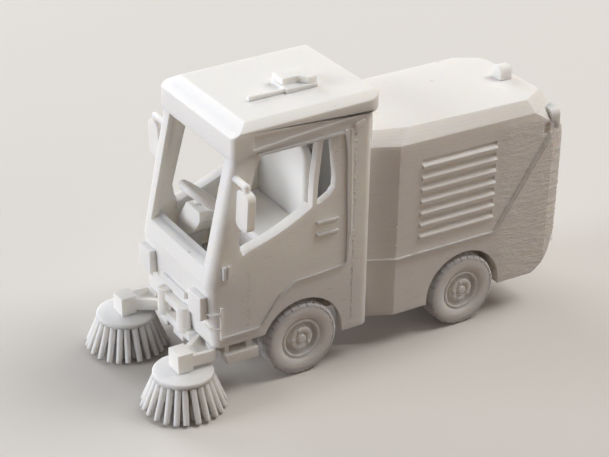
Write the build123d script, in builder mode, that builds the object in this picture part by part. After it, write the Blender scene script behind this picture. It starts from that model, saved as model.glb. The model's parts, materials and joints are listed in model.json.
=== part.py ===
from build123d import *
import os

# A 3-D printed model of a compact street sweeper, in millimetres.
# +X points forward, +Y to the vehicle's left and +Z up. The origin stands on the ground under the
# middle of the model. Stations along the length are measured forward from a datum that lies a
# little ahead of the front axle, and the body's heights from a level just above the ground.

# Driving dimensions
datum_x = 23.5
datum_z = 0.5
wheel_radius = 12.0
wheelbase = 59.2
front_axle_station = -0.9
body_half_width = 22.0
wall = 2.6
skirt_z = 10.3

# Wheels and axles
tyre_inner_y = 14.5
tyre_outer_y = 22.2
rim_radius = 6.4
axle_radius = 1.9
axle_clearance = 0.1
head_radius = 2.5
arch_radius = 14.0
arch_z = 11.5
well_inner_y = 13.3

# Cab
cab_rear_x = -24.6
cab_rear_radius = 3.0
skirt_front_x = -10.0
cab_floor_z = 26.0
screen_half_width = 16.9
screen_bottom_z = 42.3
seat_centre_y = -4.9
wheel_centre_y = -9.0

# Roof
roof_front_x = 22.8
roof_rear_x = -27.5
roof_rear_radius = 5.5
roof_half_width = 22.5
roof_slope = 0.028
fascia_z = 76.0

# Hopper
hopper_front_x = -24.8
hopper_rear_x = -98.0
hopper_top_z = 71.8
hopper_bevel_z = 67.8
belt_z = 29.7
ridge_height = 0.6

# Louvres on the hopper's sides
louvre_count = 7
louvre_pitch = 3.98
louvre_top_z = 61.2
louvre_x = (-69.8, -42.0)

# Side brushes
brush_x = 38.0
brush_y = 19.2
brush_top_z = 11.8
brush_disc_radius = 9.05
brush_disc_height = 1.6
bristle_radius = 0.95
bristle_tip_z = 0.35

front_axle_x = datum_x + front_axle_station
rear_axle_x = front_axle_x - wheelbase
axle_stations = (front_axle_station, front_axle_station - wheelbase)
axles = (("front", front_axle_x), ("rear", rear_axle_x))
sides = (("left", 1), ("right", -1))

# Side view: local x is the station and local y is the height.
side_view = Plane(origin=(datum_x, 0, datum_z), x_dir=(1, 0, 0), z_dir=(0, -1, 0))
# Plan view at the level of no height, with the same stations.
plan_view = Plane(origin=(datum_x, 0, datum_z))


def spot(station, y, z):
    """The point at a station, a sideways place and a height."""
    return (datum_x + station, y, datum_z + z)


def at(station, y, z):
    return Location(spot(station, y, z))


def cross_view(station, y=0.0, z=0.0):
    """A plane across the vehicle, whose local x is the sideways place and local y the height."""
    return Plane(origin=spot(station, y, z), x_dir=(0, 1, 0), z_dir=(1, 0, 0))


def block(x_range, y_range, z_range):
    """A box between two stations, two sideways places and two heights."""
    centre = [(low + high) / 2 for low, high in (x_range, y_range, z_range)]
    with BuildPart() as box:
        with Locations(at(*centre)):
            Box(x_range[1] - x_range[0], y_range[1] - y_range[0], z_range[1] - z_range[0])
    return box.part


def side_prism(points, near_y=-40.0, far_y=40.0):
    """Extrude a side-view outline of stations and heights between two sideways places."""
    with BuildPart() as prism:
        with BuildSketch(side_view.offset(-far_y)):
            with BuildLine():
                Polyline(*points, close=True)
            make_face()
        extrude(amount=far_y - near_y)
    return prism.part


def side_ridge(points, width, radius, inner_y, outer_y):
    """A ridge of even width along a side-view path whose bends are rounded."""
    with BuildPart() as ridge:
        with BuildSketch(side_view.offset(-outer_y)):
            with BuildLine():
                FilletPolyline(*points, radius=radius)
            trace(line_width=width)
        extrude(amount=outer_y - inner_y)
    return ridge.part


def both_sides(part):
    """A left-hand form together with its mirror image."""
    with BuildPart() as pair:
        add(part)
        mirror(part, about=Plane.XZ)
    return pair.part


def save(part, name):
    part.label = name
    export_step(part, f"parts/{name}.step")


def save_pair(part, name):
    """Write a left-hand piece and its mirror image on the right."""
    save(part, f"{name}_left")
    with BuildPart() as other:
        mirror(part, about=Plane.XZ)
    save(other.part, f"{name}_right")


os.makedirs("parts", exist_ok=True)


# Wheels: a round-shouldered tyre on a dished rim with a raised hub ring and cap.
# Profiles are sideways places and radii.
tyre_profile = ((tyre_inner_y, rim_radius), (tyre_inner_y, 10.4), (15.0, 11.5), (16.0, wheel_radius),
                (21.1, wheel_radius), (21.9, 11.5), (tyre_outer_y, 10.6), (tyre_outer_y, 9.0),
                (21.2, 7.6), (21.2, rim_radius))
hub_y = 18.2
chamber_y = 19.2
bore_radius = axle_radius + axle_clearance
chamber_radius = head_radius + 0.2
rim_profile = ((15.0, bore_radius), (15.0, rim_radius), (21.5, rim_radius), (21.7, 6.0), (21.5, 5.6),
               (19.5, 5.2), (19.5, 4.0), (21.5, 3.7), (21.7, 3.3), (21.6, 2.3), (20.7, 2.1), (20.7, 1.6),
               (22.0, 1.3), (22.1, 0.9), (22.1, 0), (chamber_y, 0), (chamber_y, chamber_radius),
               (hub_y, chamber_radius), (hub_y, bore_radius))


def wheel_part(profile, axle_x, side):
    """Turn a profile about the axle line, on one side of the vehicle."""
    section = Plane(origin=(axle_x, 0, wheel_radius), x_dir=(0, side, 0), z_dir=(side, 0, 0))
    with BuildPart() as turned:
        with BuildSketch(section):
            with BuildLine():
                Polyline(*profile, close=True)
            make_face()
        revolve(axis=Axis((axle_x, 0, wheel_radius), (0, 1, 0)))
    return turned.part


for end, axle_x in axles:
    for side_name, side in sides:
        save(wheel_part(tyre_profile, axle_x, side), f"tyre_{end}_{side_name}")
        save(wheel_part(rim_profile, axle_x, side), f"rim_{end}_{side_name}")
    # The fixed axle rod ends in a snap head inside each hub.
    head_start_y = hub_y + 0.2
    with BuildPart() as axle:
        with BuildSketch(Plane(origin=(axle_x, 0, wheel_radius), z_dir=(0, 1, 0))):
            Circle(axle_radius)
        extrude(amount=head_start_y + 0.1, both=True)
        for side_name, side in sides:
            with BuildSketch(Plane(origin=(axle_x, side * head_start_y, wheel_radius), z_dir=(0, side, 0))):
                Circle(head_radius)
            extrude(amount=0.6)
    save(axle.part, f"{end}_axle")


# Chassis: one plate with a carrier block under it for each axle.
plate_z = (14.4, 17.0)
plate_y = (-well_inner_y, well_inner_y)
carrier_half_length = 4.5
carrier_bottom_z = 9.0
with BuildPart() as chassis:
    add(block((-92.0, 25.0), plate_y, plate_z))
    for station in axle_stations:
        add(block((station - carrier_half_length, station + carrier_half_length), plate_y,
                  (carrier_bottom_z, plate_z[0])))
        with Locations(Location((datum_x + station, 0, wheel_radius), (90, 0, 0))):
            Cylinder(axle_radius, 40, mode=Mode.SUBTRACT)
save(chassis.part, "chassis")


# Cab sections from the bottom up: height, station of the front face, half width, corner radius.
cab_sections = ((17.0, 28.9, 22.0, 2.6), (28.0, 30.0, 22.0, 2.8), (37.5, 30.5, 22.0, 3.2),
                (60.0, 25.7, 21.9, 2.2), (84.0, 20.6, 21.7, 1.7))


def cab_solid(inset):
    """The cab's closed form, drawn in from its outside by a wall thickness."""
    with BuildPart() as form:
        for height, front, half, radius in cab_sections:
            with BuildSketch(plan_view.offset(height)) as outline:
                with Locations(((front + cab_rear_x) / 2, 0)):
                    Rectangle(front - cab_rear_x - 2 * inset, 2 * (half - inset))
                fillet(outline.vertices().group_by(Axis.X)[-1], radius - inset / 4)
                fillet(outline.vertices().group_by(Axis.X)[0], cab_rear_radius - inset / 4)
        loft(ruled=True)
    return form.part


cab_form = cab_solid(0)
cab_cavity = cab_solid(wall)

# Everything above the seam line belongs to the roof: level over the windscreen, then rising rearwards.
above_seam = side_prism(((40.0, fascia_z), (20.0, fascia_z), (17.5, 77.25), (-40.0, 83.0), (-40.0, 100.0),
                         (40.0, 100.0)))


def arch_prism(station):
    """The round-topped opening over a wheel, through the whole width."""
    with BuildPart() as arch:
        with BuildSketch(side_view):
            with Locations((station, arch_z)):
                Circle(arch_radius)
                Rectangle(2 * arch_radius, arch_z, align=(Align.CENTER, Align.MAX))
        extrude(amount=40, both=True)
    return arch.part


# Side glass openings: a main one with a curved sill and a small one behind a sloping divider post.
window_top_z = 75.9
sill_points = ((17.1, 46.7), (5.0, 50.9), (-3.6, 55.5))
with BuildPart() as window_prism:
    with BuildSketch(side_view):
        with BuildLine():
            ThreePointArc(*sill_points)
            Polyline(sill_points[-1], (-3.9, 64.1), (-5.4, window_top_z), (12.6, window_top_z), (15.2, 72.4),
                     (16.5, 67.5), (20.8, 50.9), (20.3, 47.8), (19.4, 45.5), sill_points[0])
        make_face()
        with BuildLine():
            Polyline((-7.0, window_top_z), (-5.6, 63.7), (-5.1, 56.0), (-6.8, 56.2), (-9.8, 57.9), (-11.3, 59.8),
                     (-11.5, 63.0), (-10.9, 68.9), (-10.1, window_top_z), close=True)
        make_face()
    extrude(amount=40, both=True)

# Raised lines on the cab's side. Paths are stations and heights.
door_seam_path = ((-14.4, 77.6), (-15.3, 71.0), (-16.1, 43.0), (-16.0, 33.6), (-7.0, 32.7), (1.6, 32.3),
                  (7.1, 28.9), (13.6, 20.1), (26.8, 20.0))
ridge_inner_y = 20.6
ridge_outer_y = body_half_width + ridge_height
cab_ridges = (
    side_ridge(door_seam_path, 0.9, 1.8, ridge_inner_y, ridge_outer_y),
    side_prism(((-16.5, 77.5), (-17.2, 43.0), (-16.9, 43.0), (-16.2, 77.5)), ridge_inner_y, ridge_outer_y),
    side_prism(((14.6, 76.0), (-14.2, 76.6), (-14.2, 77.2), (14.6, 76.6)), ridge_inner_y, ridge_outer_y),
)
# A ledge inside the door carries the main window's sill inwards.
sill_ledge = side_prism(((20.0, 42.5), (20.0, 45.5), (17.1, 46.7), (5.0, 50.9), (-3.6, 55.5), (-3.6, 52.5)),
                        body_half_width - 4.2, body_half_width - 1.0)
# Two handle bars, each over a slot in the door.
handle_x = (-12.4, -5.0)
handle_heights = (46.0, 50.0)
# A catch at the top rear corner of the door.
door_catch = side_prism(((-17.4, 77.4), (-20.4, 78.4), (-20.4, 79.9), (-17.4, 79.0)), ridge_inner_y, 22.8)

# Two bumper lines wrap round each front corner and end at an upright line on the side.
with BuildPart() as corner_lines:
    add(cab_solid(-ridge_height))
    with BuildPart(mode=Mode.PRIVATE) as corner_blocks:
        for middle_z, inner_y in ((23.6, 16.5), (28.6, 20.1)):
            add(both_sides(block((26.6, 40.0), (inner_y, 30.0), (middle_z - 0.3, middle_z + 0.3))))
        add(both_sides(block((26.5, 27.1), (20.6, 30.0), (19.9, 30.5))))
    add(corner_blocks.part, mode=Mode.INTERSECT)

inside = body_half_width - wall
with BuildPart() as cab_shell:
    add(cab_form)
    for ridge in cab_ridges:
        add(both_sides(ridge))
    add(both_sides(door_catch))
    add(corner_lines.part)
    add(cab_cavity, mode=Mode.SUBTRACT)
    add(both_sides(sill_ledge))
    # the shell is open below its floor and above its walls
    add(block((cab_rear_x + wall, 25.6), (-19.2, 19.2), (10.0, 20.0)), mode=Mode.SUBTRACT)
    # side skirts reach lower than the front panel
    with BuildSketch(plan_view.offset(skirt_z)):
        with Locations(((cab_rear_x + skirt_front_x) / 2, 0)):
            with BuildSketch(mode=Mode.PRIVATE) as skirt_plan:
                Rectangle(skirt_front_x - cab_rear_x, 2 * body_half_width)
                fillet(skirt_plan.vertices().group_by(Axis.X)[0], cab_rear_radius)
            add(skirt_plan.sketch)
            Rectangle(skirt_front_x - cab_rear_x, 2 * inside, mode=Mode.SUBTRACT)
    extrude(amount=17.0 - skirt_z)
    add(above_seam, mode=Mode.SUBTRACT)
    # windscreen opening, whose sill rises a little inwards
    add(side_prism(((40.0, screen_bottom_z - 2.7), (18.0, screen_bottom_z + 2.8), (18.0, 80.0), (40.0, 80.0)),
                   -screen_half_width, screen_half_width), mode=Mode.SUBTRACT)
    add(window_prism.part, mode=Mode.SUBTRACT)
    add(arch_prism(axle_stations[0]), mode=Mode.SUBTRACT)
    for handle_z in handle_heights:
        add(both_sides(block(handle_x, (21.3, 23.0), (handle_z - 1.3, handle_z - 0.4))), mode=Mode.SUBTRACT)
save(cab_shell.part, "cab_shell")

# Cab floor with the inner walls of the front wheel wells.
floor_top = cab_floor_z + 1.8
well_wall = 1.2
with BuildPart() as cab_floor:
    add(block((cab_rear_x + wall, 28.0), (-inside, inside), (cab_floor_z, floor_top)))
    for side_name, side in sides:
        low, high = sorted((side * (well_inner_y - well_wall), side * well_inner_y))
        add(block((cab_rear_x + wall, 25.6), (low, high), (plate_z[1], cab_floor_z)))
    add(cab_cavity, mode=Mode.INTERSECT)
save(cab_floor.part, "cab_floor")


# Roof: the plan with rounded corners, cut by the side profile and by the cross-section.
roof_side = ((roof_front_x, 70.0), (roof_front_x, 82.7), (17.3, 86.0), (-25.9, 87.2), (roof_rear_x, 85.9),
             (roof_rear_x, 70.0))
roof_rim_z = 84.0
roof_crease_y = 19.5
roof_crease_z = 85.9
with BuildPart() as cab_roof:
    with BuildSketch(plan_view.offset(70.0)) as roof_plan:
        with Locations(((roof_front_x + roof_rear_x) / 2, 0)):
            Rectangle(roof_front_x - roof_rear_x, 2 * roof_half_width)
        fillet(roof_plan.vertices().group_by(Axis.X)[-1], 1.8)
        fillet(roof_plan.vertices().group_by(Axis.X)[0], roof_rear_radius)
    extrude(amount=30)
    add(side_prism(roof_side), mode=Mode.INTERSECT)
    with BuildSketch(cross_view(roof_front_x)):
        with BuildLine():
            Polyline((-roof_half_width, 60.0), (-roof_half_width, roof_rim_z), (-roof_crease_y, roof_crease_z),
                     (roof_crease_y, roof_crease_z), (roof_half_width, roof_rim_z), (roof_half_width, 60.0),
                     close=True)
        make_face()
    extrude(amount=60, dir=(-1, 0, roof_slope), mode=Mode.INTERSECT)
    add(above_seam, mode=Mode.INTERSECT)
    # the space inside, and a shallow band that leaves a gutter ridge along the seam
    add(block((cab_rear_x + wall, 20.0), (-19.1, 19.1), (70.0, 83.6)), mode=Mode.SUBTRACT)
    add(both_sides(side_prism(((16.0, 78.3), (-21.0, 82.0), (16.0, 82.2)), roof_half_width - 0.5, 30.0)),
        mode=Mode.SUBTRACT)
save(cab_roof.part, "cab_roof")

# Roof vent: a low box with a hook-shaped rim on it, open to the front, and a bar running forward.
vent_top_z = 88.0
vent_rim = ((-12.4, 0.4), (-2.4, 0.4), (-2.4, 6.4), (-7.6, 6.4), (-9.6, 9.0), (-12.4, 9.0))
with BuildPart() as roof_vent:
    add(block((-12.4, -2.0), (0.4, 9.5), (85.0, vent_top_z)))
    with BuildSketch(plan_view.offset(vent_top_z)):
        with BuildLine():
            Polyline(*vent_rim, close=True)
        make_face()
    extrude(amount=2.0)
    add(block((-2.0, 9.8), (7.1, 8.5), (85.0, 87.7)))
    add(cab_roof.part, mode=Mode.SUBTRACT)
save(roof_vent.part, "roof_vent")


# Inside the cab: a bench seat that stands against the right wall, and the steering console.
seat_width = 27.8
seat_front_x = 8.0
cushion_top_z = 42.6
backrest_x = -8.5
backrest_height = 25.0
backrest_thickness = 2.8
seat_y = (seat_centre_y - seat_width / 2, seat_centre_y + seat_width / 2)
with BuildPart() as seat_base:
    add(block((backrest_x - backrest_thickness, seat_front_x), seat_y, (floor_top, cushion_top_z)))
    fillet(seat_base.edges().group_by(Axis.X)[-1], 1.6)
save(seat_base.part, "seat_base")
with BuildPart() as seat_back:
    with BuildSketch(cross_view(backrest_x, seat_centre_y, cushion_top_z)) as backrest:
        Rectangle(seat_width, backrest_height, align=(Align.CENTER, Align.MIN))
        fillet(backrest.vertices().group_by(Axis.Y)[-1], 5.0)
    extrude(amount=-backrest_thickness)
    fillet(seat_back.edges().group_by(Axis.X)[-1].sort_by(Axis.Z)[1:], 1.2)
save(seat_back.part, "seat_back")

# The ledge behind the windscreen carries its sill inwards.
with BuildPart() as dashboard:
    add(side_prism(((25.2, 37.0), (25.2, screen_bottom_z + 1.0), (30.0, screen_bottom_z - 0.2), (30.0, 37.0)),
                   -inside, inside))
    add(block((20.0, 30.0), (-inside, inside), (floor_top, 37.0)))
    add(cab_cavity, mode=Mode.INTERSECT)
save(dashboard.part, "dashboard")

# The steering wheel leans back over the console.
steering_plane = Plane(origin=spot(16.0, wheel_centre_y, 49.9), x_dir=(0, 1, 0), z_dir=(-0.64, 0, 0.77))
ring_radius = 7.0
ring_thickness = 1.4
spoke_count = 3
with BuildPart() as steering_wheel:
    with Locations(steering_plane):
        Torus(ring_radius, ring_thickness)
        Cylinder(3.4, 1.6)
        with PolarLocations(0, spoke_count):
            Box(ring_radius, 2.4, 1.2, align=(Align.MIN, Align.CENTER, Align.CENTER))
save(steering_wheel.part, "steering_wheel")

# Console: a pod under the steering wheel on one leg, drawn as sideways places and heights.
console_x = (14.5, 20.2)
console_outline = ((-17.0, floor_top), (-17.0, 38.0), (-16.2, 41.8), (-11.4, 48.4), (-3.1, 48.4), (-3.1, 45.2),
                   (-6.5, 40.6), (-12.4, 36.2), (-12.4, floor_top))
with BuildPart() as binnacle:
    with BuildSketch(cross_view(console_x[0])):
        with BuildLine():
            Polyline(*console_outline, close=True)
        make_face()
    extrude(amount=console_x[1] - console_x[0])
    add(dashboard.part, mode=Mode.SUBTRACT)
    add(steering_wheel.part, mode=Mode.SUBTRACT)
save(binnacle.part, "binnacle")
with BuildPart() as steering_column:
    with Locations(steering_plane):
        Cylinder(1.6, 4.0, align=(Align.CENTER, Align.CENTER, Align.MAX))
    add(steering_wheel.part, mode=Mode.SUBTRACT)
    add(binnacle.part, mode=Mode.SUBTRACT)
save(steering_column.part.solids().sort_by(SortBy.VOLUME)[-1], "steering_column")


# Hopper: half outlines in plan, of stations and sideways places, at the belt and at the top.
hopper_plan = ((hopper_front_x, 17.8), (-33.8, 22.0), (-92.0, 22.0), (-95.9, 21.2), (-97.7, 19.2),
               (hopper_rear_x, 16.5))
hopper_top_plan = ((hopper_front_x, 14.5), (-38.8, 18.5), (-82.0, 19.5), (-86.4, 18.2), (-89.4, 15.4),
                   (-90.9, 12.5))


def whole_outline(points):
    """A half outline followed by its mirror image across the centreline."""
    return points + tuple((x, -y) for x, y in reversed(points))


def hopper_slab(z_range, grow=0.0):
    """The hopper's plan between two heights, grown outwards where a ridge stands on it."""
    with BuildPart() as slab:
        with BuildSketch(plan_view.offset(z_range[0])):
            with BuildLine():
                Polyline(*whole_outline(hopper_plan), close=True)
            make_face()
            if grow:
                offset(amount=grow, kind=Kind.INTERSECTION)
        extrude(amount=z_range[1] - z_range[0])
    return slab.part


# Raised lines on the hopper's side: a belt, and the tailgate's edge rising from it to the rear.
tailgate_path = ((-24.0, belt_z), (-70.8, belt_z), (-90.6, 60.0))
tailgate_gap_path = ((-73.8, 32.2), (-91.2, 58.2))
# The upper rear corners are cut by a slanting face that makes room for the lamps.
corner_cut_origin = spot(-82.0, 19.5, hopper_top_z)
corner_cut_normal = (-0.384, 0.693, 0.61)
# A louvre is a groove whose floor slopes out over a raised slat: rises from its middle, and sideways
# places.
groove_profile = ((0.4, 20.8), (-0.3, 20.8), (-1.6, 22.75), (-1.6, 24.0), (0.4, 24.0))
slat_profile = ((-0.9, 21.0), (-0.9, 21.7), (-1.6, 22.75), (-2.2, 22.7), (-2.9, 22.0), (-2.9, 21.0))

with BuildPart() as hopper:
    add(hopper_slab((skirt_z, hopper_bevel_z)))
    for height, half_outline in ((hopper_bevel_z, hopper_plan), (hopper_top_z, hopper_top_plan)):
        with BuildSketch(plan_view.offset(height)):
            with BuildLine():
                Polyline(*whole_outline(half_outline), close=True)
            make_face()
    loft(ruled=True)
    # rear profile, leaning forward at the top and rounded at the foot
    with BuildSketch(side_view):
        with BuildLine():
            Polyline((-20.0, 5.0), (-20.0, 80.0), (-84.0, 80.0), (-90.9, hopper_top_z), (-93.0, hopper_bevel_z),
                     (-94.7, 64.9), (-95.5, 60.2), (-96.9, 51.4), (hopper_rear_x, 33.5), (-95.3, 21.3))
            ThreePointArc((-95.3, 21.3), (-93.1, 15.2), (-87.6, skirt_z))
            Polyline((-87.6, skirt_z), (-87.6, 5.0), (-20.0, 5.0))
        make_face()
    extrude(amount=40, both=True, mode=Mode.INTERSECT)
    with BuildPart(mode=Mode.PRIVATE) as corner_cut:
        with BuildSketch(Plane(origin=corner_cut_origin, z_dir=corner_cut_normal)):
            Rectangle(60, 60)
        extrude(amount=30)
    add(both_sides(corner_cut.part), mode=Mode.SUBTRACT)
    add(both_sides(block((-90.4, -87.9), (20.8, 23.0), (59.7, 63.4))), mode=Mode.SUBTRACT)
    with BuildPart(mode=Mode.PRIVATE) as tailgate_ridges:
        add(hopper_slab((belt_z - 5.0, 61.0), ridge_height))
        with BuildPart(mode=Mode.PRIVATE) as ridge_lines:
            add(both_sides(side_ridge(tailgate_path, 1.1, 1.5, 15.0, 40.0)))
            with BuildSketch(side_view) as gap_line:
                with BuildLine():
                    Line(*tailgate_gap_path)
                trace(line_width=0.6)
            extrude(amount=40, both=True)
        add(ridge_lines.part, mode=Mode.INTERSECT)
    add(tailgate_ridges.part)
    for index in range(louvre_count):
        groove_z = louvre_top_z - index * louvre_pitch
        for side_name, side in sides:
            across = Plane(origin=spot(louvre_x[0], 0, groove_z), x_dir=(0, side, 0), z_dir=(1, 0, 0))
            for profile, mode in ((groove_profile, Mode.SUBTRACT), (slat_profile, Mode.ADD)):
                with BuildSketch(across):
                    with BuildLine():
                        Polyline(*[(y, side * rise) for rise, y in profile], close=True)
                    make_face()
                extrude(amount=louvre_x[1] - louvre_x[0], mode=mode)
    # channel for the chassis plate and the rear wheel wells
    add(block((-99.0, -20.0), plate_y, (5.0, plate_z[1])), mode=Mode.SUBTRACT)
    with BuildPart(mode=Mode.PRIVATE) as rear_wells:
        add(arch_prism(axle_stations[1]))
        add(block((-99.0, -20.0), plate_y, (0.0, 40.0)), mode=Mode.SUBTRACT)
    add(rear_wells.part, mode=Mode.SUBTRACT)
save(hopper.part, "hopper")

# The bulkhead closes the step between the cab and the hopper.
with BuildPart() as rear_bulkhead:
    add(block((-27.0, cab_rear_x), (-16.8, 16.8), (hopper_bevel_z - 2.0, 82.4)))
    add(hopper.part, mode=Mode.SUBTRACT)
    add(cab_roof.part, mode=Mode.SUBTRACT)
save(rear_bulkhead.part.solids().sort_by(Axis.Z)[-1], "rear_bulkhead")

# A beacon box on the hopper's top, and the lamps on its rear corners.
with BuildPart() as rear_beacon:
    add(block((-88.2, -83.6), (-0.9, 4.0), (hopper_top_z, 76.3)))
    fillet(rear_beacon.edges().filter_by(Axis.X).group_by(Axis.Z)[-1], 2.2)
save(rear_beacon.part, "rear_beacon")
with BuildPart() as rear_lamp:
    add(block((-94.0, -90.4), (14.8, body_half_width), (61.0, 67.4)))
    fillet(rear_lamp.edges().filter_by(Axis.X).group_by(Axis.Z)[-1], 2.4)
    add(hopper.part, mode=Mode.SUBTRACT)
save_pair(rear_lamp.part.solids().sort_by(SortBy.VOLUME)[-1], "rear_lamp")


# Lamps, mirrors, steps and small side pieces, each fitted against the cab's outside.
def on_cab(*boxes):
    """Boxes given by their station, sideways and height ranges, less the cab itself."""
    with BuildPart() as piece:
        for box in boxes:
            add(block(*box))
        add(cab_form, mode=Mode.SUBTRACT)
    return piece.part


save_pair(on_cab(((28.6, 32.5), (12.4, 20.0), (26.6, 34.0))), "headlamp")
# A mirror's housing leans back under a rod that comes out of the post and bends down into it.
mirror_lean = 5
rod_radius = 1.05
with BuildPart() as mirror_piece:
    with BuildSketch(cross_view(22.8, 27.4, 63.1).rotated((-mirror_lean, 0, 0))):
        RectangleRounded(6.4, 12.2, 2.0)
    extrude(amount=-2.6)
    with Locations(Location(spot(21.6, 24.0, 70.6), (90, 0, 0))):
        Cylinder(rod_radius, 8.0)
    with Locations(at(21.6, 28.0, 70.6)):
        Sphere(rod_radius)
        Cylinder(rod_radius, 4.0, align=(Align.CENTER, Align.CENTER, Align.MAX))
    add(cab_form, mode=Mode.SUBTRACT)
save_pair(mirror_piece.part.solids().sort_by(SortBy.VOLUME)[-1], "mirror")
# A side marker is a low block with two upright bars on it.
marker_x = (23.9, 26.3)
marker_z = (39.7, 43.8)
marker_bars = [((x, x + 0.9), (20.0, 22.9), marker_z) for x in (marker_x[0], marker_x[1] - 0.9)]
save_pair(on_cab((marker_x, (20.0, 22.5), marker_z), *marker_bars), "side_marker")
save_pair(on_cab(*[(handle_x, (20.0, 22.9), (z - 0.4, z + 0.4)) for z in handle_heights]), "door_handle")
save(on_cab(((28.0, 31.2), (-7.4, 7.4), (27.2, 29.0))), "front_bar")

# Linkage under the front panel: a beam with two lugs, two upright rams and a bar over them.
ram_y = 6.2
with BuildPart() as lift_bracket:
    add(block((25.0, 31.4), (-10.2, 10.2), (14.2, 16.9)))
    add(block((28.4, 31.4), (-9.4, -4.0), (12.4, 14.2)))
    add(block((28.4, 31.4), (0.2, 6.4), (12.2, 14.2)))
    for side_name, side in sides:
        with Locations(at(30.8, side * ram_y, 16.0)):
            Cylinder(2.2, 8.4, align=(Align.CENTER, Align.CENTER, Align.MIN))
    add(block((28.8, 31.8), (-7.2, 7.2), (21.2, 23.8)))
    add(cab_form, mode=Mode.SUBTRACT)
save(lift_bracket.part, "lift_bracket")
# A step hangs under each side of the cab on two small brackets.
step_bottom_z = 10.6
step_top_z = 14.0
with BuildPart() as side_step:
    add(side_prism(((14.4, step_top_z), (14.4, step_bottom_z), (24.6, step_bottom_z), (25.6, step_top_z)),
                   17.8, body_half_width + 0.3))
    for bracket_x in ((15.8, 17.8), (23.6, 25.0)):
        add(block(bracket_x, (19.6, 20.8), (step_top_z, 17.0)))
save_pair(side_step.part, "side_step")


# Side brushes on their arms.
arm_top_z = 16.8
arm_thickness = 3.6
block_top_z = 18.1
pin_radius = 1.5
brush_gap = 0.3
disc_bottom_z = brush_top_z - brush_disc_height
# Plan of an arm from its block back to the chassis, and of the pocket in its top.
arm_outline = ((36.5, 15.9), (32.4, 13.4), (28.2, 10.6), (25.4, 10.6), (25.4, well_inner_y),
               (18.0, well_inner_y), (18.0, 17.4), (27.6, 17.4), (27.8, 20.8), (29.2, 21.8), (31.0, 21.9),
               (36.5, 21.4))
pocket_outline = ((26.6, 12.0), (28.6, 12.2), (33.8, 16.2), (33.8, 20.6), (29.6, 20.6), (28.9, 16.2),
                  (26.6, 16.2))
with BuildPart() as brush_arm:
    with BuildSketch(plan_view.offset(arm_top_z - arm_thickness)):
        with BuildLine():
            Polyline(*arm_outline, close=True)
        make_face()
    extrude(amount=arm_thickness)
    with BuildSketch(plan_view.offset(arm_top_z)):
        with BuildLine():
            Polyline(*pocket_outline, close=True)
        make_face()
    extrude(amount=-1.6, mode=Mode.SUBTRACT)
    add(block((35.9, 40.8), (15.7, 21.8), (brush_top_z + brush_gap, block_top_z)))
save_pair(brush_arm.part, "brush_arm")
with BuildPart() as brush_pin:
    with BuildSketch(Plane(origin=spot(brush_x, brush_y, brush_top_z + brush_gap))):
        Circle(pin_radius)
    extrude(amount=-(brush_disc_height + 2 * brush_gap))
    with BuildSketch(Plane(origin=spot(brush_x, brush_y, disc_bottom_z - brush_gap))):
        Circle(pin_radius + 0.9)
    extrude(amount=-0.8)
save_pair(brush_pin.part, "brush_pin")

# Bristle rings: root radius, tip radius and number of bristles.
bristle_rings = ((8.0, 12.2, 24), (5.6, 9.6, 16))
bristle_root_z = disc_bottom_z + 0.5


def bristle(root_radius, tip_radius):
    """One straight bristle leaning outwards from the disc to just above the ground."""
    root = Vector(root_radius, 0, bristle_root_z)
    tip = Vector(tip_radius, 0, bristle_tip_z + 0.3 - datum_z)
    with BuildPart() as rod:
        with BuildSketch(Plane(origin=root, z_dir=tip - root)):
            Circle(bristle_radius)
        extrude(amount=(tip - root).length)
    return rod.part


with BuildPart() as brush:
    with Locations(at(brush_x, brush_y, disc_bottom_z)):
        Cylinder(brush_disc_radius, brush_disc_height, align=(Align.CENTER, Align.CENTER, Align.MIN))
    fillet(brush.edges().group_by(Axis.Z)[-1], 0.5)
    for root_radius, tip_radius, count in bristle_rings:
        with Locations(at(brush_x, brush_y, 0)):
            with PolarLocations(0, count, start_angle=180 / count):
                add(bristle(root_radius, tip_radius))
    with Locations(at(brush_x, brush_y, disc_bottom_z)):
        Cylinder(pin_radius + axle_clearance, 10, mode=Mode.SUBTRACT)
save_pair(brush.part, "brush")
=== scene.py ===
import bpy
import bmesh
import json
import math
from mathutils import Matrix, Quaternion, Vector


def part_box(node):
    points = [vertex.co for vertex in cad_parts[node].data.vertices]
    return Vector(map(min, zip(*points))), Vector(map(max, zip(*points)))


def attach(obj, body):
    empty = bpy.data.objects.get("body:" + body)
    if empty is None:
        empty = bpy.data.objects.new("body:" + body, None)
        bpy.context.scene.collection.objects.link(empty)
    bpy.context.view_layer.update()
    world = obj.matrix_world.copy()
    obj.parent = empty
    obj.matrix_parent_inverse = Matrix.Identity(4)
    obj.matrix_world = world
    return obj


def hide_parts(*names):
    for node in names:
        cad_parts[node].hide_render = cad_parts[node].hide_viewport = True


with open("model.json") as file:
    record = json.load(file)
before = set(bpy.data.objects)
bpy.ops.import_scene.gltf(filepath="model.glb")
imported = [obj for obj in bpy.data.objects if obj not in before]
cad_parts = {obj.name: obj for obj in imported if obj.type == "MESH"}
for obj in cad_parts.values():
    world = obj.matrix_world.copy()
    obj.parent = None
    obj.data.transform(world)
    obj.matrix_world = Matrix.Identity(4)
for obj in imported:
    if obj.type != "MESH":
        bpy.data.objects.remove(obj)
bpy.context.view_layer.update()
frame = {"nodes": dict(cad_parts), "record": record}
mm = 0.001
sides = (("left", 1), ("right", -1))
stationDatum = (23.5, 0.5)    # mm, forward and up: where the stations and heights below are counted from
print("frame loaded:", len(frame["nodes"]), "nodes")


def linearFromHex(code):
    values = [int(code[i:i + 2], 16) / 255 for i in (0, 2, 4)]
    return [v / 12.92 if v <= 0.04045 else ((v + 0.055) / 1.055) ** 2.4 for v in values] + [1.0]


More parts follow.
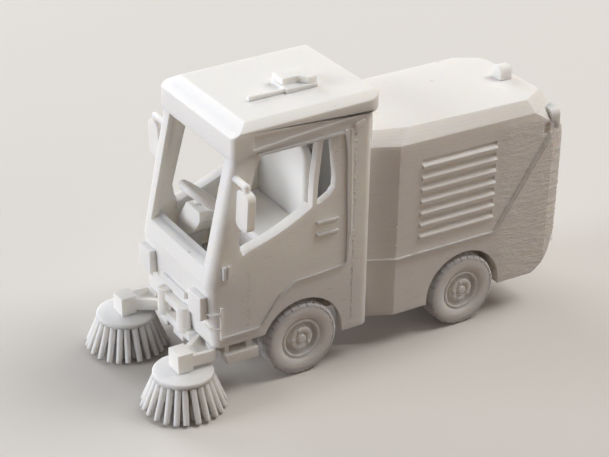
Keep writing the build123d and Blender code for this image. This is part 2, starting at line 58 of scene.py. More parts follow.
def addNode(tree, kind, settings=None, values=None, links=None):
    node = tree.nodes.new(kind)
    for name, value in (settings or {}).items():
        setattr(node, name, value)
    for socket, value in (values or {}).items():
        node.inputs[socket].default_value = value
    for socket, source in (links or {}).items():
        tree.links.new(source, node.inputs[socket])
    return node


# White PLA filament laid down in layers: a satin, slightly waxy skin that lets some light through.
# Each layer shows as a fine level line, uneven in depth, with short gaps where two layers
# didn't quite meet; the gaps are also painted darker, as painted shade in them. The layers are 0.2 mm; they are
# drawn at twice that so that they show.
plaPrint = {
    "colour": "F6F4F0",
    # painted shade: the darker colour the layer gaps are painted with, for the shade inside them
    "gapShadeColour": "E2DCD4",
    "roughness": 0.48,
    "layerHeight": 0.42,      # mm
    "layerDepth": 0.032,      # mm
    "grainSize": 0.5,         # mm
    "grainDepth": 0.022,      # mm
    "grainStretch": 0.4,      # how fast the grain changes along a layer, against across it
    "gapLength": 5.0,         # mm
    "gapDepth": 0.025,        # mm
    "gapShare": 0.72,         # noise level above which a gap opens
    "gapEdge": 0.08,          # further noise over which it opens fully
    "streakLength": 22.0,     # mm, of the bands where the strand ran thick or thin
    "streakHeight": 1.3,      # mm
    "streakDepth": 0.05,      # mm
    "noiseSpan": 0.5,         # noise keeps to about this share of its range, so depths are divided by it
    "scatter": 0.55,
    "scatterRadius": 4.2,     # mm, for red; green and blue go less deep
    "scatterShares": (1.0, 0.85, 0.65),
    "ior": 1.46,
}
# Tyres and bristles are the same plastic printed as finer, rougher walls.
tyrePrint = dict(plaPrint, colour="F8F6F2", roughness=0.6, grainDepth=0.03)
bristlePrint = dict(plaPrint, colour="FAF8F3", roughness=0.52)
# Behind the louvres the hopper's wall came out rough: the nozzle dragged and left torn pits there.
hopperPrint = dict(
    plaPrint,
    patchFront=-44.0, patchRear=-52.0,    # mm, the patch fades in between these two places
    patchTop=68.5, patchUnder=64.0,       # mm, and fades out between these two heights
    patchSize=1.7, patchDepth=0.34,       # mm
    patchStretch=(0.28, 1.0, 1.1),        # the pits are drawn out along the layers
)


def makePla(name, spec):
    material = bpy.data.materials.new(name)
    material.use_nodes = True
    tree = material.node_tree
    shader = tree.nodes["Principled BSDF"]
    coords = addNode(tree, "ShaderNodeTexCoord").outputs["Object"]
    split = addNode(tree, "ShaderNodeSeparateXYZ", links={0: coords})
    # a level line for each layer, of uneven depth
    layer = addNode(tree, "ShaderNodeMath", {"operation": "MULTIPLY"}, {1: 1 / (spec["layerHeight"] * mm)},
                    {0: split.outputs["Z"]})
    line = addNode(tree, "ShaderNodeTexNoise", {"noise_dimensions": "1D"}, {"Scale": 1.0, "Detail": 2.0},
                   {"W": layer.outputs[0]})
    # short grains where the strand swells, longer along the layer than across it
    grainScale = 1 / (spec["grainSize"] * mm)
    grainAlong = spec["grainStretch"] * grainScale
    along = addNode(tree, "ShaderNodeMapping", values={"Scale": (grainAlong, grainAlong, grainScale)},
                    links={0: coords})
    grain = addNode(tree, "ShaderNodeTexNoise", values={"Scale": 1.0, "Detail": 2.0},
                    links={"Vector": along.outputs[0]})
    # gaps between layers, thin and long
    gapScale = 1 / (spec["gapLength"] * mm)
    slit = addNode(tree, "ShaderNodeMapping", values={
        "Scale": (gapScale, gapScale, 1 / (spec["layerHeight"] * mm))}, links={0: coords})
    slitNoise = addNode(tree, "ShaderNodeTexNoise", values={"Scale": 1.0, "Detail": 1.0},
                        links={"Vector": slit.outputs[0]})
    gap = addNode(tree, "ShaderNodeMapRange", values={
        "From Min": spec["gapShare"], "From Max": spec["gapShare"] + spec["gapEdge"]},
        links={"Value": slitNoise.outputs[0]})
    height = addNode(tree, "ShaderNodeMath", {"operation": "MULTIPLY"}, {1: spec["layerDepth"]},
                     {0: line.outputs[0]})
    height = addNode(tree, "ShaderNodeMath", {"operation": "MULTIPLY_ADD"}, {
        1: spec["grainDepth"] / spec["noiseSpan"]}, {0: grain.outputs[0], 2: height.outputs[0]})
    height = addNode(tree, "ShaderNodeMath", {"operation": "MULTIPLY_ADD"}, {1: -spec["gapDepth"]},
                     {0: gap.outputs[0], 2: height.outputs[0]})
    # long level bands
    streakScale = 1 / (spec["streakLength"] * mm)
    band = addNode(tree, "ShaderNodeMapping", values={
        "Scale": (streakScale, streakScale, 1 / (spec["streakHeight"] * mm))}, links={0: coords})
    streak = addNode(tree, "ShaderNodeTexNoise", values={"Scale": 1.0, "Detail": 3.0, "Roughness": 0.7},
                     links={"Vector": band.outputs[0]})
    height = addNode(tree, "ShaderNodeMath", {"operation": "MULTIPLY_ADD"}, {
        1: spec["streakDepth"] / spec["noiseSpan"]}, {0: streak.outputs[0], 2: height.outputs[0]})
    # torn pits on one part of a wall
    if "patchDepth" in spec:
        zone = addNode(tree, "ShaderNodeMapRange", {"interpolation_type": "SMOOTHSTEP"}, {
            "From Min": spec["patchFront"] * mm, "From Max": spec["patchRear"] * mm},
            {"Value": split.outputs["X"]})
        below = addNode(tree, "ShaderNodeMapRange", {"interpolation_type": "SMOOTHSTEP"}, {
            "From Min": spec["patchTop"] * mm, "From Max": spec["patchUnder"] * mm},
            {"Value": split.outputs["Z"]})
        torn = addNode(tree, "ShaderNodeMapping", values={
            "Scale": [stretch / (spec["patchSize"] * mm) for stretch in spec["patchStretch"]]},
            links={0: coords})
        pits = addNode(tree, "ShaderNodeTexNoise", values={"Scale": 1.0, "Detail": 4.0, "Roughness": 0.65},
                       links={"Vector": torn.outputs[0]})
        depth = addNode(tree, "ShaderNodeMath", {"operation": "MULTIPLY"}, {
            1: spec["patchDepth"] / spec["noiseSpan"]}, {0: zone.outputs[0]})
        depth = addNode(tree, "ShaderNodeMath", {"operation": "MULTIPLY"}, links={
            0: depth.outputs[0], 1: below.outputs[0]})
        height = addNode(tree, "ShaderNodeMath", {"operation": "MULTIPLY_ADD"}, links={
            0: pits.outputs[0], 1: depth.outputs[0], 2: height.outputs[0]})
    bump = addNode(tree, "ShaderNodeBump", values={"Strength": 1.0, "Distance": mm},
                   links={"Height": height.outputs[0]})
    # painted shade: where a gap opens, the base colour turns to the darker gap colour
    mix = addNode(tree, "ShaderNodeMix", {"data_type": "RGBA"}, links={0: gap.outputs[0]})
    mix.inputs[6].default_value = linearFromHex(spec["colour"])
    mix.inputs[7].default_value = linearFromHex(spec["gapShadeColour"])
    tree.links.new(mix.outputs[2], shader.inputs["Base Color"])
    tree.links.new(bump.outputs[0], shader.inputs["Normal"])
    shader.inputs["Roughness"].default_value = spec["roughness"]
    shader.inputs["IOR"].default_value = spec["ior"]
    shader.inputs["Subsurface Weight"].default_value = spec["scatter"]
    shader.inputs["Subsurface Radius"].default_value = spec["scatterShares"]
    shader.inputs["Subsurface Scale"].default_value = spec["scatterRadius"] * mm
    return material


shellPla = makePla("whitePlaShell", plaPrint)
tyrePla = makePla("whitePlaTyre", tyrePrint)
bristlePla = makePla("whitePlaBristle", bristlePrint)
hopperPla = makePla("whitePlaHopper", hopperPrint)
for name, node in frame["nodes"].items():
    node.data.materials.clear()
    node.data.materials.append(tyrePla if name.startswith("tyre") else shellPla)
print("materials done")


# Printed pieces have no sharp edges: each shell is copied from its solid and its edges are eased.
softEdges = {
    "names": ("cab_shell", "cab_roof", "hopper", "dashboard", "binnacle", "seat_base", "seat_back", "roof_vent",
              "rear_beacon", "rear_bulkhead", "lift_bracket", "side_step_left", "side_step_right",
              "headlamp_left", "headlamp_right", "mirror_left", "mirror_right", "brush_arm_left",
              "brush_arm_right", "rear_lamp_left", "rear_lamp_right", "front_bar", "side_marker_left",
              "side_marker_right", "door_handle_left", "door_handle_right"),
    "width": 0.35,          # mm, set by the nozzle
    "wide": {"cab_roof": 1.3, "hopper": 0.55, "cab_shell": 0.45, "seat_back": 0.6, "binnacle": 0.6},   # mm
    "tightShare": 0.1,      # of the width, round faces that look down on another piece
    "downward": -0.7,       # upward part of such a face's normal
    "fine": 0.12,           # mm, on the smallest pieces
    "fineNames": ("roof_vent", "front_bar", "side_marker_left", "side_marker_right", "door_handle_left",
                  "door_handle_right"),
    "angle": 24,            # degrees between two faces, from which their edge is eased
    "mergeDistance": 0.002,   # mm
    "flatAngle": 0.5,         # degrees
}


def copyShell(name, materials):
    source = frame["nodes"][name]
    mesh = source.data.copy()
    shell = bpy.data.objects.new(name + "Printed", mesh)
    bpy.context.collection.objects.link(shell)
    build = bmesh.new()
    build.from_mesh(mesh)
    bmesh.ops.remove_doubles(build, verts=build.verts, dist=softEdges["mergeDistance"] * mm)
    bmesh.ops.dissolve_limit(build, angle_limit=math.radians(softEdges["flatAngle"]), verts=build.verts,
                             edges=build.edges)
    build.to_mesh(mesh)
    build.free()
    mesh.materials.clear()
    for material in materials:
        mesh.materials.append(material)
    return shell


def bodyOf(name):
    for body, nodes in frame["record"]["behaviour"]["bodies"].items():
        if name in nodes:
            return body
    return "model"


# Sharp edges get the full easing, apart from the ones under a piece.
def weighEdges(mesh):
    build = bmesh.new()
    build.from_mesh(mesh)
    layers = build.edges.layers.float
    weight = layers.get("bevel_weight_edge") or layers.new("bevel_weight_edge")
    for edge in build.edges:
        if len(edge.link_faces) == 2 and edge.calc_face_angle() > math.radians(softEdges["angle"]):
            under = min(face.normal.z for face in edge.link_faces) < softEdges["downward"]
            edge[weight] = softEdges["tightShare"] if under else 1.0
    build.to_mesh(mesh)
    build.free()


for name in softEdges["names"]:
    shell = copyShell(name, [hopperPla if name == "hopper" else shellPla])
    weighEdges(shell.data)
    bevel = shell.modifiers.new("edges", "BEVEL")
    width = softEdges["fine"] if name in softEdges["fineNames"] else softEdges["width"]
    bevel.width = softEdges["wide"].get(name, width) * mm
    bevel.segments = 3 if name in softEdges["wide"] else 2
    bevel.limit_method = "WEIGHT"
    bevel.harden_normals = False
    bevel.use_clamp_overlap = True
    for polygon in shell.data.polygons:
        polygon.use_smooth = False
    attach(shell, bodyOf(name))
    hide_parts(name)
print("shells done:", len(softEdges["names"]))


# What repeats round a hub is one form set out in a ring by Geometry Nodes.
def ringTree():
    tree = bpy.data.node_groups.new("ringOfForms", "GeometryNodeTree")
    panel = tree.interface
    panel.new_socket("Geometry", in_out="INPUT", socket_type="NodeSocketGeometry")
    for label, kind in (("Count", "NodeSocketInt"), ("Step", "NodeSocketVector"), ("Start", "NodeSocketVector"),
                        ("Centre", "NodeSocketVector"), ("Wobble", "NodeSocketFloat"),
                        ("Seed", "NodeSocketInt"), ("Material", "NodeSocketMaterial")):
        panel.new_socket(label, in_out="INPUT", socket_type=kind)
    panel.new_socket("Geometry", in_out="OUTPUT", socket_type="NodeSocketGeometry")
    given = addNode(tree, "NodeGroupInput")
    line = addNode(tree, "GeometryNodeMeshLine", values={"Offset": (0, 0, 0)}, links={
        "Count": given.outputs["Count"], "Start Location": given.outputs["Centre"]})
    index = addNode(tree, "GeometryNodeInputIndex")
    turn = addNode(tree, "ShaderNodeVectorMath", {"operation": "MULTIPLY_ADD"}, links={
        0: given.outputs["Step"], 1: index.outputs[0], 2: given.outputs["Start"]})
    least = addNode(tree, "ShaderNodeMath", {"operation": "MULTIPLY"}, {1: -1.0}, {0: given.outputs["Wobble"]})
    uneven = addNode(tree, "FunctionNodeRandomValue", {"data_type": "FLOAT_VECTOR"}, links={
        0: least.outputs[0], 1: given.outputs["Wobble"], "Seed": given.outputs["Seed"]})
    angle = addNode(tree, "ShaderNodeVectorMath", {"operation": "ADD"}, links={
        0: turn.outputs[0], 1: uneven.outputs[0]})
    placed = addNode(tree, "GeometryNodeInstanceOnPoints", links={
        "Points": line.outputs[0], "Instance": given.outputs["Geometry"], "Rotation": angle.outputs[0]})
    real = addNode(tree, "GeometryNodeRealizeInstances", links={0: placed.outputs[0]})
    dressed = addNode(tree, "GeometryNodeSetMaterial", links={
        "Geometry": real.outputs[0], "Material": given.outputs["Material"]})
    addNode(tree, "NodeGroupOutput", links={0: dressed.outputs[0]})
    return tree


ringOfForms = ringTree()


def setInputs(modifier, values):
    for item in modifier.node_group.interface.items_tree:
        if item.in_out == "INPUT" and item.name in values:
            modifier[item.identifier] = values[item.name]


def plainMesh(form):
    bpy.context.view_layer.update()
    graph = bpy.context.evaluated_depsgraph_get()
    mesh = bpy.data.meshes.new_from_object(form.evaluated_get(graph))
    bpy.data.objects.remove(form)
    return mesh


def ringMesh(name, form, values):
    holder = bpy.data.objects.new(name, form)
    bpy.context.collection.objects.link(holder)
    modifier = holder.modifiers.new("ring", "NODES")
    modifier.node_group = ringOfForms
    setInputs(modifier, values)
    return plainMesh(holder)


def meshFrom(name, build):
    mesh = bpy.data.meshes.new(name)
    build.to_mesh(mesh)
    build.free()
    return mesh


seamMerge = 0.001 * mm    # joins a turned form where it meets itself


# Turns a profile of places along an axis and radii from it.
def lathe(name, profile, centre, axis, start, steps):
    build = bmesh.new()
    corners = [build.verts.new(Vector(centre) + Vector(axis) * along + Vector(start) * radius)
               for along, radius in profile]
    edges = [build.edges.new(pair) for pair in zip(corners, corners[1:])]
    bmesh.ops.spin(build, geom=corners + edges, cent=centre, axis=axis, angle=2 * math.pi, steps=steps,
                   use_duplicate=False)
    bmesh.ops.remove_doubles(build, verts=build.verts, dist=seamMerge)
    bmesh.ops.recalc_face_normals(build, faces=build.faces)
    for face in build.faces:
        face.smooth = True
    return meshFrom(name, build)


def joinMeshes(name, meshes, materials):
    build = bmesh.new()
    for mesh in meshes:
        build.from_mesh(mesh)
    mesh = meshFrom(name, build)
    for material in materials:
        mesh.materials.append(material)
    piece = bpy.data.objects.new(name, mesh)
    bpy.context.collection.objects.link(piece)
    return piece


# Side brushes: a disc with a rolled rim over two rings of stubby tapered bristles, which lean out
# and end unevenly.
brushSpec = {
    "discRadius": 9.05,       # mm
    "discHeight": 1.9,
    "discRim": 0.45,
    "rimEase": 0.3,           # share of the rim's width where its two slopes meet
    "rings": ((24, 8.0, 12.1, 0), (16, 5.4, 9.6, 7)),   # count, radius at the disc and at the tips, seed
    "rootDepth": 0.3,         # mm that a bristle runs up into the disc
    "topRadius": 1.0,         # mm, of one bristle
    "tipRadius": 0.92,
    "core": ((9.9, 7.0), (5.2, 8.4), (3.4, 6.2), (3.4, 0.0)),   # height and radius, where the strands merge
    "bristleFaces": 10,
    "discFaces": 64,
    "tipClearance": 0.45,     # mm above the ground
    "wobble": 1.4,            # degrees
}


# Joins a row of rings of corners into one closed form.
def skinRings(build, rings):
    for low, high in zip(rings, rings[1:]):
        for k in range(len(low)):
            following = (k + 1) % len(low)
            build.faces.new((low[k], low[following], high[following], high[k]))
    build.faces.new(rings[-1])
    build.faces.new(rings[0])
    bmesh.ops.recalc_face_normals(build, faces=build.faces)


def bristleForm(spec, topRadius, tipRadius, topZ, tipZ):
    root, tip = Vector((topRadius, 0, topZ)), Vector((tipRadius, 0, tipZ))
    axis = (tip - root).normalized()
    across = axis.cross(Vector((0, 1, 0)))
    turns = [Quaternion(axis, 2 * math.pi * k / spec["bristleFaces"]) for k in range(spec["bristleFaces"])]
    build = bmesh.new()
    rings = []
    for place, radius in ((root, spec["topRadius"]), (tip, spec["tipRadius"])):
        rings.append([build.verts.new((place + turn @ across * radius) * mm) for turn in turns])
    skinRings(build, rings)
    # the sides are round, and the two caps stay flat with a sharp rim
    for face in build.faces:
        face.smooth = len(face.verts) == 4
        if not face.smooth:
            for edge in face.edges:
                edge.smooth = False
    return meshFrom("bristle", build)


def makeBrush(side, spec):
    low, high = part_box("brush_" + side)
    x, y = (low[0] + high[0]) / 2, (low[1] + high[1]) / 2
    top, height, rim, radius = high[2] / mm, spec["discHeight"], spec["discRim"], spec["discRadius"]
    ease = rim * spec["rimEase"]
    profile = [(top, 0), (top, radius - rim), (top - ease, radius - ease), (top - rim, radius),
               (top - height + rim, radius), (top - height, radius - rim), (top - height, 0)]
    profile = [(z * mm, r * mm) for z, r in profile]
    core = [(z * mm, r * mm) for z, r in ((spec["core"][0][0], 0),) + spec["core"]]
    meshes = [lathe("brushDisc", profile, (x, y, 0), (0, 0, 1), (1, 0, 0), spec["discFaces"]),
              lathe("bristleCore", core, (x, y, 0), (0, 0, 1), (1, 0, 0), spec["discFaces"])]
    for count, topRadius, tipRadius, seed in spec["rings"]:
        form = bristleForm(spec, topRadius, tipRadius, top - height + spec["rootDepth"],
                           low[2] / mm + spec["tipClearance"])
        meshes.append(ringMesh("bristleRing", form, {
            "Count": count, "Step": (0, 0, 2 * math.pi / count), "Start": (0, 0, math.pi / count),
            "Centre": (x, y, 0), "Wobble": math.radians(spec["wobble"]), "Seed": seed, "Material": bristlePla}))
    brush = joinMeshes("bristleBrush_" + side, meshes, [bristlePla])
    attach(brush, "side_brush_" + side)
    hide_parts("brush_" + side)


for side, _ in sides:
    makeBrush(side, brushSpec)
print("brushes done")


# Tyres: a round-shouldered carcass with two staggered rows of low blocks round the tread.
tyreSpec = {
    # outlines by place out from the centreline and radius, in mm
    "carcass": ((14.5, 6.4), (14.5, 10.0), (14.9, 11.0), (15.8, 11.6), (18.4, 11.7), (21.2, 11.65),
                (21.9, 11.3), (22.15, 10.7), (22.2, 9.8), (22.18, 8.6), (22.0, 7.7), (21.7, 7.1), (21.4, 6.7),
                (21.2, 6.4)),
    "blockCount": 28,
    "blockWidth": 2.15,       # mm round the tread
    "outerBlock": ((18.7, 10.8), (18.7, 11.96), (21.2, 11.96), (21.9, 11.7), (22.17, 11.2), (22.19, 10.9),
                   (21.4, 10.6)),
    "innerBlock": ((18.1, 10.8), (18.1, 11.96), (15.9, 11.96), (15.1, 11.6), (14.6, 10.8), (15.0, 10.3)),
    "steps": 84,              # faces round the carcass
}


def blockForm(outline, width, side):
    build = bmesh.new()
    ends = [[build.verts.new(Vector((x, side * y, r)) * mm) for y, r in outline]
            for x in (-width / 2, width / 2)]
    for k, (first, second) in enumerate(zip(ends[0], ends[1])):
        following = (k + 1) % len(outline)
        build.faces.new((first, second, ends[1][following], ends[0][following]))
    for end in ends:
        build.faces.new(end)
    bmesh.ops.recalc_face_normals(build, faces=build.faces)
    return meshFrom("treadBlock", build)


def makeTyre(name, side, spec):
    low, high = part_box("tyre_" + name)
    centre = ((low[0] + high[0]) / 2, 0, (low[2] + high[2]) / 2)
    profile = [(side * y * mm, r * mm) for y, r in spec["carcass"] + spec["carcass"][:1]]
    meshes = [lathe("carcass", profile, centre, (0, 1, 0), (1, 0, 0), spec["steps"])]
    step = 2 * math.pi / spec["blockCount"]
    for outline, start in ((spec["outerBlock"], 0.0), (spec["innerBlock"], step / 2)):
        meshes.append(ringMesh("tread", blockForm(outline, spec["blockWidth"], side), {
            "Count": spec["blockCount"], "Step": (0, step, 0), "Start": (0, start, 0), "Centre": centre,
            "Wobble": 0.0, "Seed": 3, "Material": tyrePla}))
    tyre = joinMeshes("treadedTyre_" + name, meshes, [tyrePla])
    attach(tyre, "wheel_" + name)
    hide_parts("tyre_" + name)


# Wheel nuts: five blunt nuts printed on the raised ring round each hub cap.
nutSpec = {
    "count": 5,
    "faces": 6,
    "radius": 0.72,         # mm
    "ringRadius": 3.0,
    "inner": 20.4,          # mm from the centreline, inside the rim
    "outer": 22.0,
    "ease": 0.22,
    "start": 0.3,           # radians that the first nut is turned by
}


def nutForm(spec, side):
    sections = ((spec["inner"], spec["radius"]), (spec["outer"] - spec["ease"], spec["radius"]),
                (spec["outer"], spec["radius"] - spec["ease"]))
    turns = [2 * math.pi * k / spec["faces"] for k in range(spec["faces"])]
    build = bmesh.new()
    rings = []
    for y, radius in sections:
        corners = [(radius * math.cos(turn), side * y, spec["ringRadius"] + radius * math.sin(turn))
                   for turn in turns]
        rings.append([build.verts.new(Vector(corner) * mm) for corner in corners])
    skinRings(build, rings)
    return meshFrom("wheelNut", build)


def makeNuts(name, side, spec):
    low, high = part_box("rim_" + name)
    centre = ((low[0] + high[0]) / 2, 0, (low[2] + high[2]) / 2)
    nuts = joinMeshes("wheelNuts_" + name, [ringMesh("nuts", nutForm(spec, side), {
        "Count": spec["count"], "Step": (0, 2 * math.pi / spec["count"], 0), "Start": (0, spec["start"], 0),
        "Centre": centre, "Wobble": 0.0, "Seed": 2, "Material": shellPla})], [shellPla])
    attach(nuts, "wheel_" + name)


for end in ("front", "rear"):
    for side, sign in sides:
        makeTyre(end + "_" + side, sign, tyreSpec)
        makeNuts(end + "_" + side, sign, nutSpec)
print("wheels done")


# The raised lines on the sides are rounded beads of plastic that catch the light.
ridgeSpec = {
    "radius": 0.52,           # mm
    "corner": 2.4,            # mm, the radius at each bend
    "cornerPoints": 6,
    "roundFaces": 12,
    # station, outward place and height of each point in mm: door, gutter, belt with tailgate
    "paths": (
        ((-14.4, 21.9, 77.0), (-15.3, 22.0, 71.0), (-16.1, 22.1, 43.0), (-16.0, 22.1, 33.6), (-7.0, 22.1, 32.7),
         (1.6, 22.1, 32.3), (7.1, 22.1, 28.9), (13.6, 22.1, 20.1), (26.6, 22.1, 20.0)),
        ((14.4, 21.85, 76.3), (-14.0, 21.85, 76.9)),
        ((-25.2, 18.1, 29.7), (-33.9, 22.15, 29.7), (-70.8, 22.15, 29.7), (-90.3, 22.15, 59.6)),
    ),
}


def pathTree():
    tree = bpy.data.node_groups.new("beadAlongPath", "GeometryNodeTree")
    panel = tree.interface
    panel.new_socket("Geometry", in_out="INPUT", socket_type="NodeSocketGeometry")
    for label, kind in (("Radius", "NodeSocketFloat"), ("Corner", "NodeSocketFloat"),
                        ("Material", "NodeSocketMaterial")):
        panel.new_socket(label, in_out="INPUT", socket_type=kind)
    panel.new_socket("Geometry", in_out="OUTPUT", socket_type="NodeSocketGeometry")
    given = addNode(tree, "NodeGroupInput")
    line = addNode(tree, "GeometryNodeMeshToCurve", links={0: given.outputs["Geometry"]})
    eased = addNode(tree, "GeometryNodeFilletCurve", {"mode": "POLY"}, {
        "Count": ridgeSpec["cornerPoints"], "Limit Radius": True}, {
        "Curve": line.outputs[0], "Radius": given.outputs["Corner"]})
    section = addNode(tree, "GeometryNodeCurvePrimitiveCircle", values={
        "Resolution": ridgeSpec["roundFaces"]}, links={"Radius": given.outputs["Radius"]})
    bead = addNode(tree, "GeometryNodeCurveToMesh", values={"Fill Caps": True}, links={
        "Curve": eased.outputs[0], "Profile Curve": section.outputs["Curve"]})
    real = addNode(tree, "GeometryNodeRealizeInstances", links={0: bead.outputs[0]})
    smooth = addNode(tree, "GeometryNodeSetShadeSmooth", links={0: real.outputs[0]})
    dressed = addNode(tree, "GeometryNodeSetMaterial", links={
        "Geometry": smooth.outputs[0], "Material": given.outputs["Material"]})
    addNode(tree, "NodeGroupOutput", links={0: dressed.outputs[0]})
    return tree


beadAlongPath = pathTree()


def makeRidges(spec):
    meshes = []
    for path in spec["paths"]:
        for side, sign in sides:
            line = bpy.data.meshes.new("ridgeLine")
            points = [((stationDatum[0] + x) * mm, sign * y * mm, (stationDatum[1] + z) * mm)
                      for x, y, z in path]
            line.from_pydata(points, [(k, k + 1) for k in range(len(points) - 1)], [])
            holder = bpy.data.objects.new("ridge", line)
            bpy.context.collection.objects.link(holder)
            modifier = holder.modifiers.new("bead", "NODES")
            modifier.node_group = beadAlongPath
            setInputs(modifier, {
                "Radius": spec["radius"] * mm, "Corner": spec["corner"] * mm, "Material": shellPla})
            meshes.append(plainMesh(holder))
    ridges = joinMeshes("raisedLines", meshes, [shellPla])
    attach(ridges, "model")


makeRidges(ridgeSpec)
print("ridges done")


# Where each layer starts and stops the nozzle leaves a bead, and the beads stack into seams.
seamSpec = {
    # station, outward place, lowest and highest bead in mm, count, seed
    "lines": ((-18.2, 21.93, 12.0, 76.0, 92, 5), (-34.0, 21.9, 43.0, 66.0, 34, 8),
              (-33.7, 21.95, 31.0, 43.0, 12, 9), (17.6, 21.93, 20.0, 40.0, 22, 4),
              (-96.0, 21.0, 20.0, 52.0, 46, 11)),
    "size": 0.30,             # mm, radius
    "scatter": (0.25, 0.0, 0.6),      # mm either way along, out and up
    "leastShape": (0.6, 0.25, 0.35),  # shares of the size along, out and up
    "mostShape": (1.6, 0.8, 0.9),
}


def beadTree():
    tree = bpy.data.node_groups.new("seamOfBeads", "GeometryNodeTree")
    panel = tree.interface
    panel.new_socket("Geometry", in_out="INPUT", socket_type="NodeSocketGeometry")
    for label, kind in (("Bottom", "NodeSocketVector"), ("Top", "NodeSocketVector"), ("Count", "NodeSocketInt"),
                        ("Size", "NodeSocketFloat"), ("Scatter", "NodeSocketVector"), ("Seed", "NodeSocketInt"),
                        ("Material", "NodeSocketMaterial")):
        panel.new_socket(label, in_out="INPUT", socket_type=kind)
    panel.new_socket("Geometry", in_out="OUTPUT", socket_type="NodeSocketGeometry")
    given = addNode(tree, "NodeGroupInput")
    line = addNode(tree, "GeometryNodeMeshLine", {"mode": "END_POINTS"}, links={
        "Count": given.outputs["Count"], "Start Location": given.outputs["Bottom"],
        "Offset": given.outputs["Top"]})
    back = addNode(tree, "ShaderNodeVectorMath", {"operation": "SCALE"}, {"Scale": -1.0}, {
        0: given.outputs["Scatter"]})
    shift = addNode(tree, "FunctionNodeRandomValue", {"data_type": "FLOAT_VECTOR"}, links={
        0: back.outputs[0], 1: given.outputs["Scatter"], "Seed": given.outputs["Seed"]})
    moved = addNode(tree, "GeometryNodeSetPosition", links={
        "Geometry": line.outputs[0], "Offset": shift.outputs[0]})
    bead = addNode(tree, "GeometryNodeMeshIcoSphere", values={"Subdivisions": 2}, links={
        "Radius": given.outputs["Size"]})
    flattened = addNode(tree, "FunctionNodeRandomValue", {"data_type": "FLOAT_VECTOR"}, {
        0: seamSpec["leastShape"], 1: seamSpec["mostShape"]}, {"Seed": given.outputs["Seed"]})
    placed = addNode(tree, "GeometryNodeInstanceOnPoints", links={
        "Points": moved.outputs[0], "Instance": bead.outputs["Mesh"], "Scale": flattened.outputs[0]})
    real = addNode(tree, "GeometryNodeRealizeInstances", links={0: placed.outputs[0]})
    smooth = addNode(tree, "GeometryNodeSetShadeSmooth", links={0: real.outputs[0]})
    dressed = addNode(tree, "GeometryNodeSetMaterial", links={
        "Geometry": smooth.outputs[0], "Material": given.outputs["Material"]})
    addNode(tree, "NodeGroupOutput", links={0: dressed.outputs[0]})
    return tree


seamOfBeads = beadTree()


def makeSeams(spec):
    meshes = []
    for station, outward, bottom, top, count, seed in spec["lines"]:
        for side, sign in sides:
            x, y, rise = stationDatum[0] + station, sign * outward, stationDatum[1]
            holder = bpy.data.objects.new("seam", bpy.data.meshes.new("seam"))
            bpy.context.collection.objects.link(holder)
            modifier = holder.modifiers.new("beads", "NODES")
            modifier.node_group = seamOfBeads
            setInputs(modifier, {
                "Bottom": (x * mm, y * mm, (bottom + rise) * mm), "Top": (x * mm, y * mm, (top + rise) * mm),
                "Count": count, "Size": spec["size"] * mm, "Scatter": [part * mm for part in spec["scatter"]],
                "Seed": seed + (side == "right"), "Material": shellPla})
            meshes.append(plainMesh(holder))
    seams = joinMeshes("layerSeams", meshes, [shellPla])
    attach(seams, "model")


makeSeams(seamSpec)
print("seams done")


# Pale floor that keeps the model's shadow. Only the light that it throws back is that of the dark
# table such a model stands on.
floorSpec = {
    "colour": "DAD7D2",
    "bounceColour": "7A695E",
    "size": 6.0,              # m
    "roughness": 0.8,
    "specular": 0.2,
}


def makeFloor(spec):
    bpy.ops.mesh.primitive_plane_add(size=spec["size"])
    floor = bpy.context.object
    floor.name = "floor"
    material = bpy.data.materials.new("paleFloor")
    material.use_nodes = True
    tree = material.node_tree
    shader = tree.nodes["Principled BSDF"]
    path = addNode(tree, "ShaderNodeLightPath")
    seen = path.outputs["Is Camera Ray"]
    for label in ("Is Glossy Ray", "Is Transmission Ray"):
        either = addNode(tree, "ShaderNodeMath", {"operation": "MAXIMUM"}, links={
            0: seen, 1: path.outputs[label]})
        seen = either.outputs[0]
    mix = addNode(tree, "ShaderNodeMix", {"data_type": "RGBA"}, links={0: seen})
    mix.inputs[6].default_value = linearFromHex(spec["bounceColour"])
    mix.inputs[7].default_value = linearFromHex(spec["colour"])
    tree.links.new(mix.outputs[2], shader.inputs["Base Color"])
    shader.inputs["Roughness"].default_value = spec["roughness"]
    shader.inputs["Specular IOR Level"].default_value = spec["specular"]
    floor.data.materials.append(material)


makeFloor(floorSpec)

# Plain soft light: most of it comes from ahead and above on the right, so the left side is shaded.
lampTarget = Vector((0, 0, 0.04))
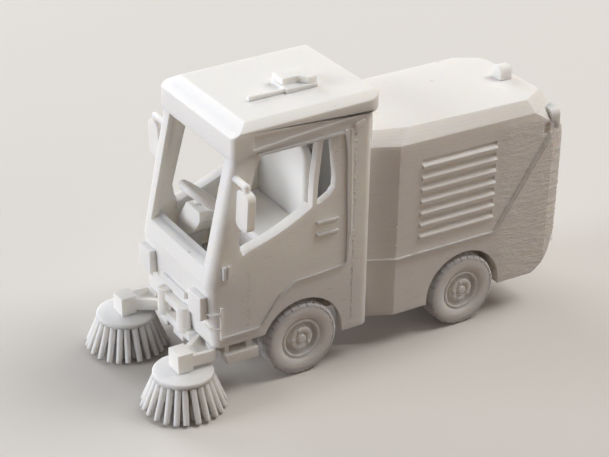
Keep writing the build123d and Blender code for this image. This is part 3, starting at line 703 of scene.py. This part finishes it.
# places and sizes in m, powers in W
lampSpec = {
    "key": {"place": (1.65, -0.5, 0.48), "size": 1.0, "power": 23.0, "colour": "F6F9FF"},
    "window": {"place": (0.2, -1.4, 0.60), "size": 0.9, "power": 13.6, "colour": "F8FAFF"},
    "top": {"place": (-0.9, 0.18, 1.4), "size": 0.9, "power": 18.5, "colour": "FFFDFA"},
    "rear": {"place": (-0.30, 0.38, 0.18), "size": 0.3, "power": 0.27, "colour": "FFEBDA"},
}
for name, spec in lampSpec.items():
    data = bpy.data.lights.new(name, "AREA")
    data.size = spec["size"]
    data.energy = spec["power"]
    data.color = linearFromHex(spec["colour"])[:3]
    lamp = bpy.data.objects.new(name, data)
    lamp.location = spec["place"]
    lamp.rotation_mode = "QUATERNION"
    lamp.rotation_quaternion = (lampTarget - lamp.location).to_track_quat("-Z", "Y")
    bpy.context.collection.objects.link(lamp)

roomSpec = {"colour": "FFF6EE", "strength": 0.125}
world = bpy.data.worlds.new("room")
world.use_nodes = True
background = world.node_tree.nodes["Background"]
background.inputs["Color"].default_value = linearFromHex(roomSpec["colour"])
background.inputs["Strength"].default_value = roomSpec["strength"]
bpy.context.scene.world = world

cameraSpec = {
    "target": (9.0, 0.0, 36.0),   # mm
    "azimuth": 58.47,             # degrees from +X towards +Y
    "elevation": 27.90,           # degrees
    "roll": 0.94,                 # degrees
    "distance": 506.1,            # mm
    "lens": 97.15,                # mm
    "sensor": 36.0,               # mm
    "clip": (0.02, 20.0),         # m
}


def makeCamera(spec):
    azimuth, elevation = math.radians(spec["azimuth"]), math.radians(spec["elevation"])
    back = Vector((math.cos(azimuth) * math.cos(elevation), math.sin(azimuth) * math.cos(elevation),
                   math.sin(elevation)))
    data = bpy.data.cameras.new("camera")
    data.lens = spec["lens"]
    data.sensor_width = spec["sensor"]
    data.clip_start, data.clip_end = spec["clip"]
    camera = bpy.data.objects.new("camera", data)
    camera.location = (Vector(spec["target"]) + back * spec["distance"]) * mm
    camera.rotation_mode = "QUATERNION"
    roll = Quaternion((0, 0, 1), math.radians(spec["roll"]))
    camera.rotation_quaternion = (-back).to_track_quat("-Z", "Y") @ roll
    bpy.context.collection.objects.link(camera)
    bpy.context.scene.camera = camera


makeCamera(cameraSpec)
bpy.context.scene.view_settings.view_transform = "Standard"
print("camera and light done")
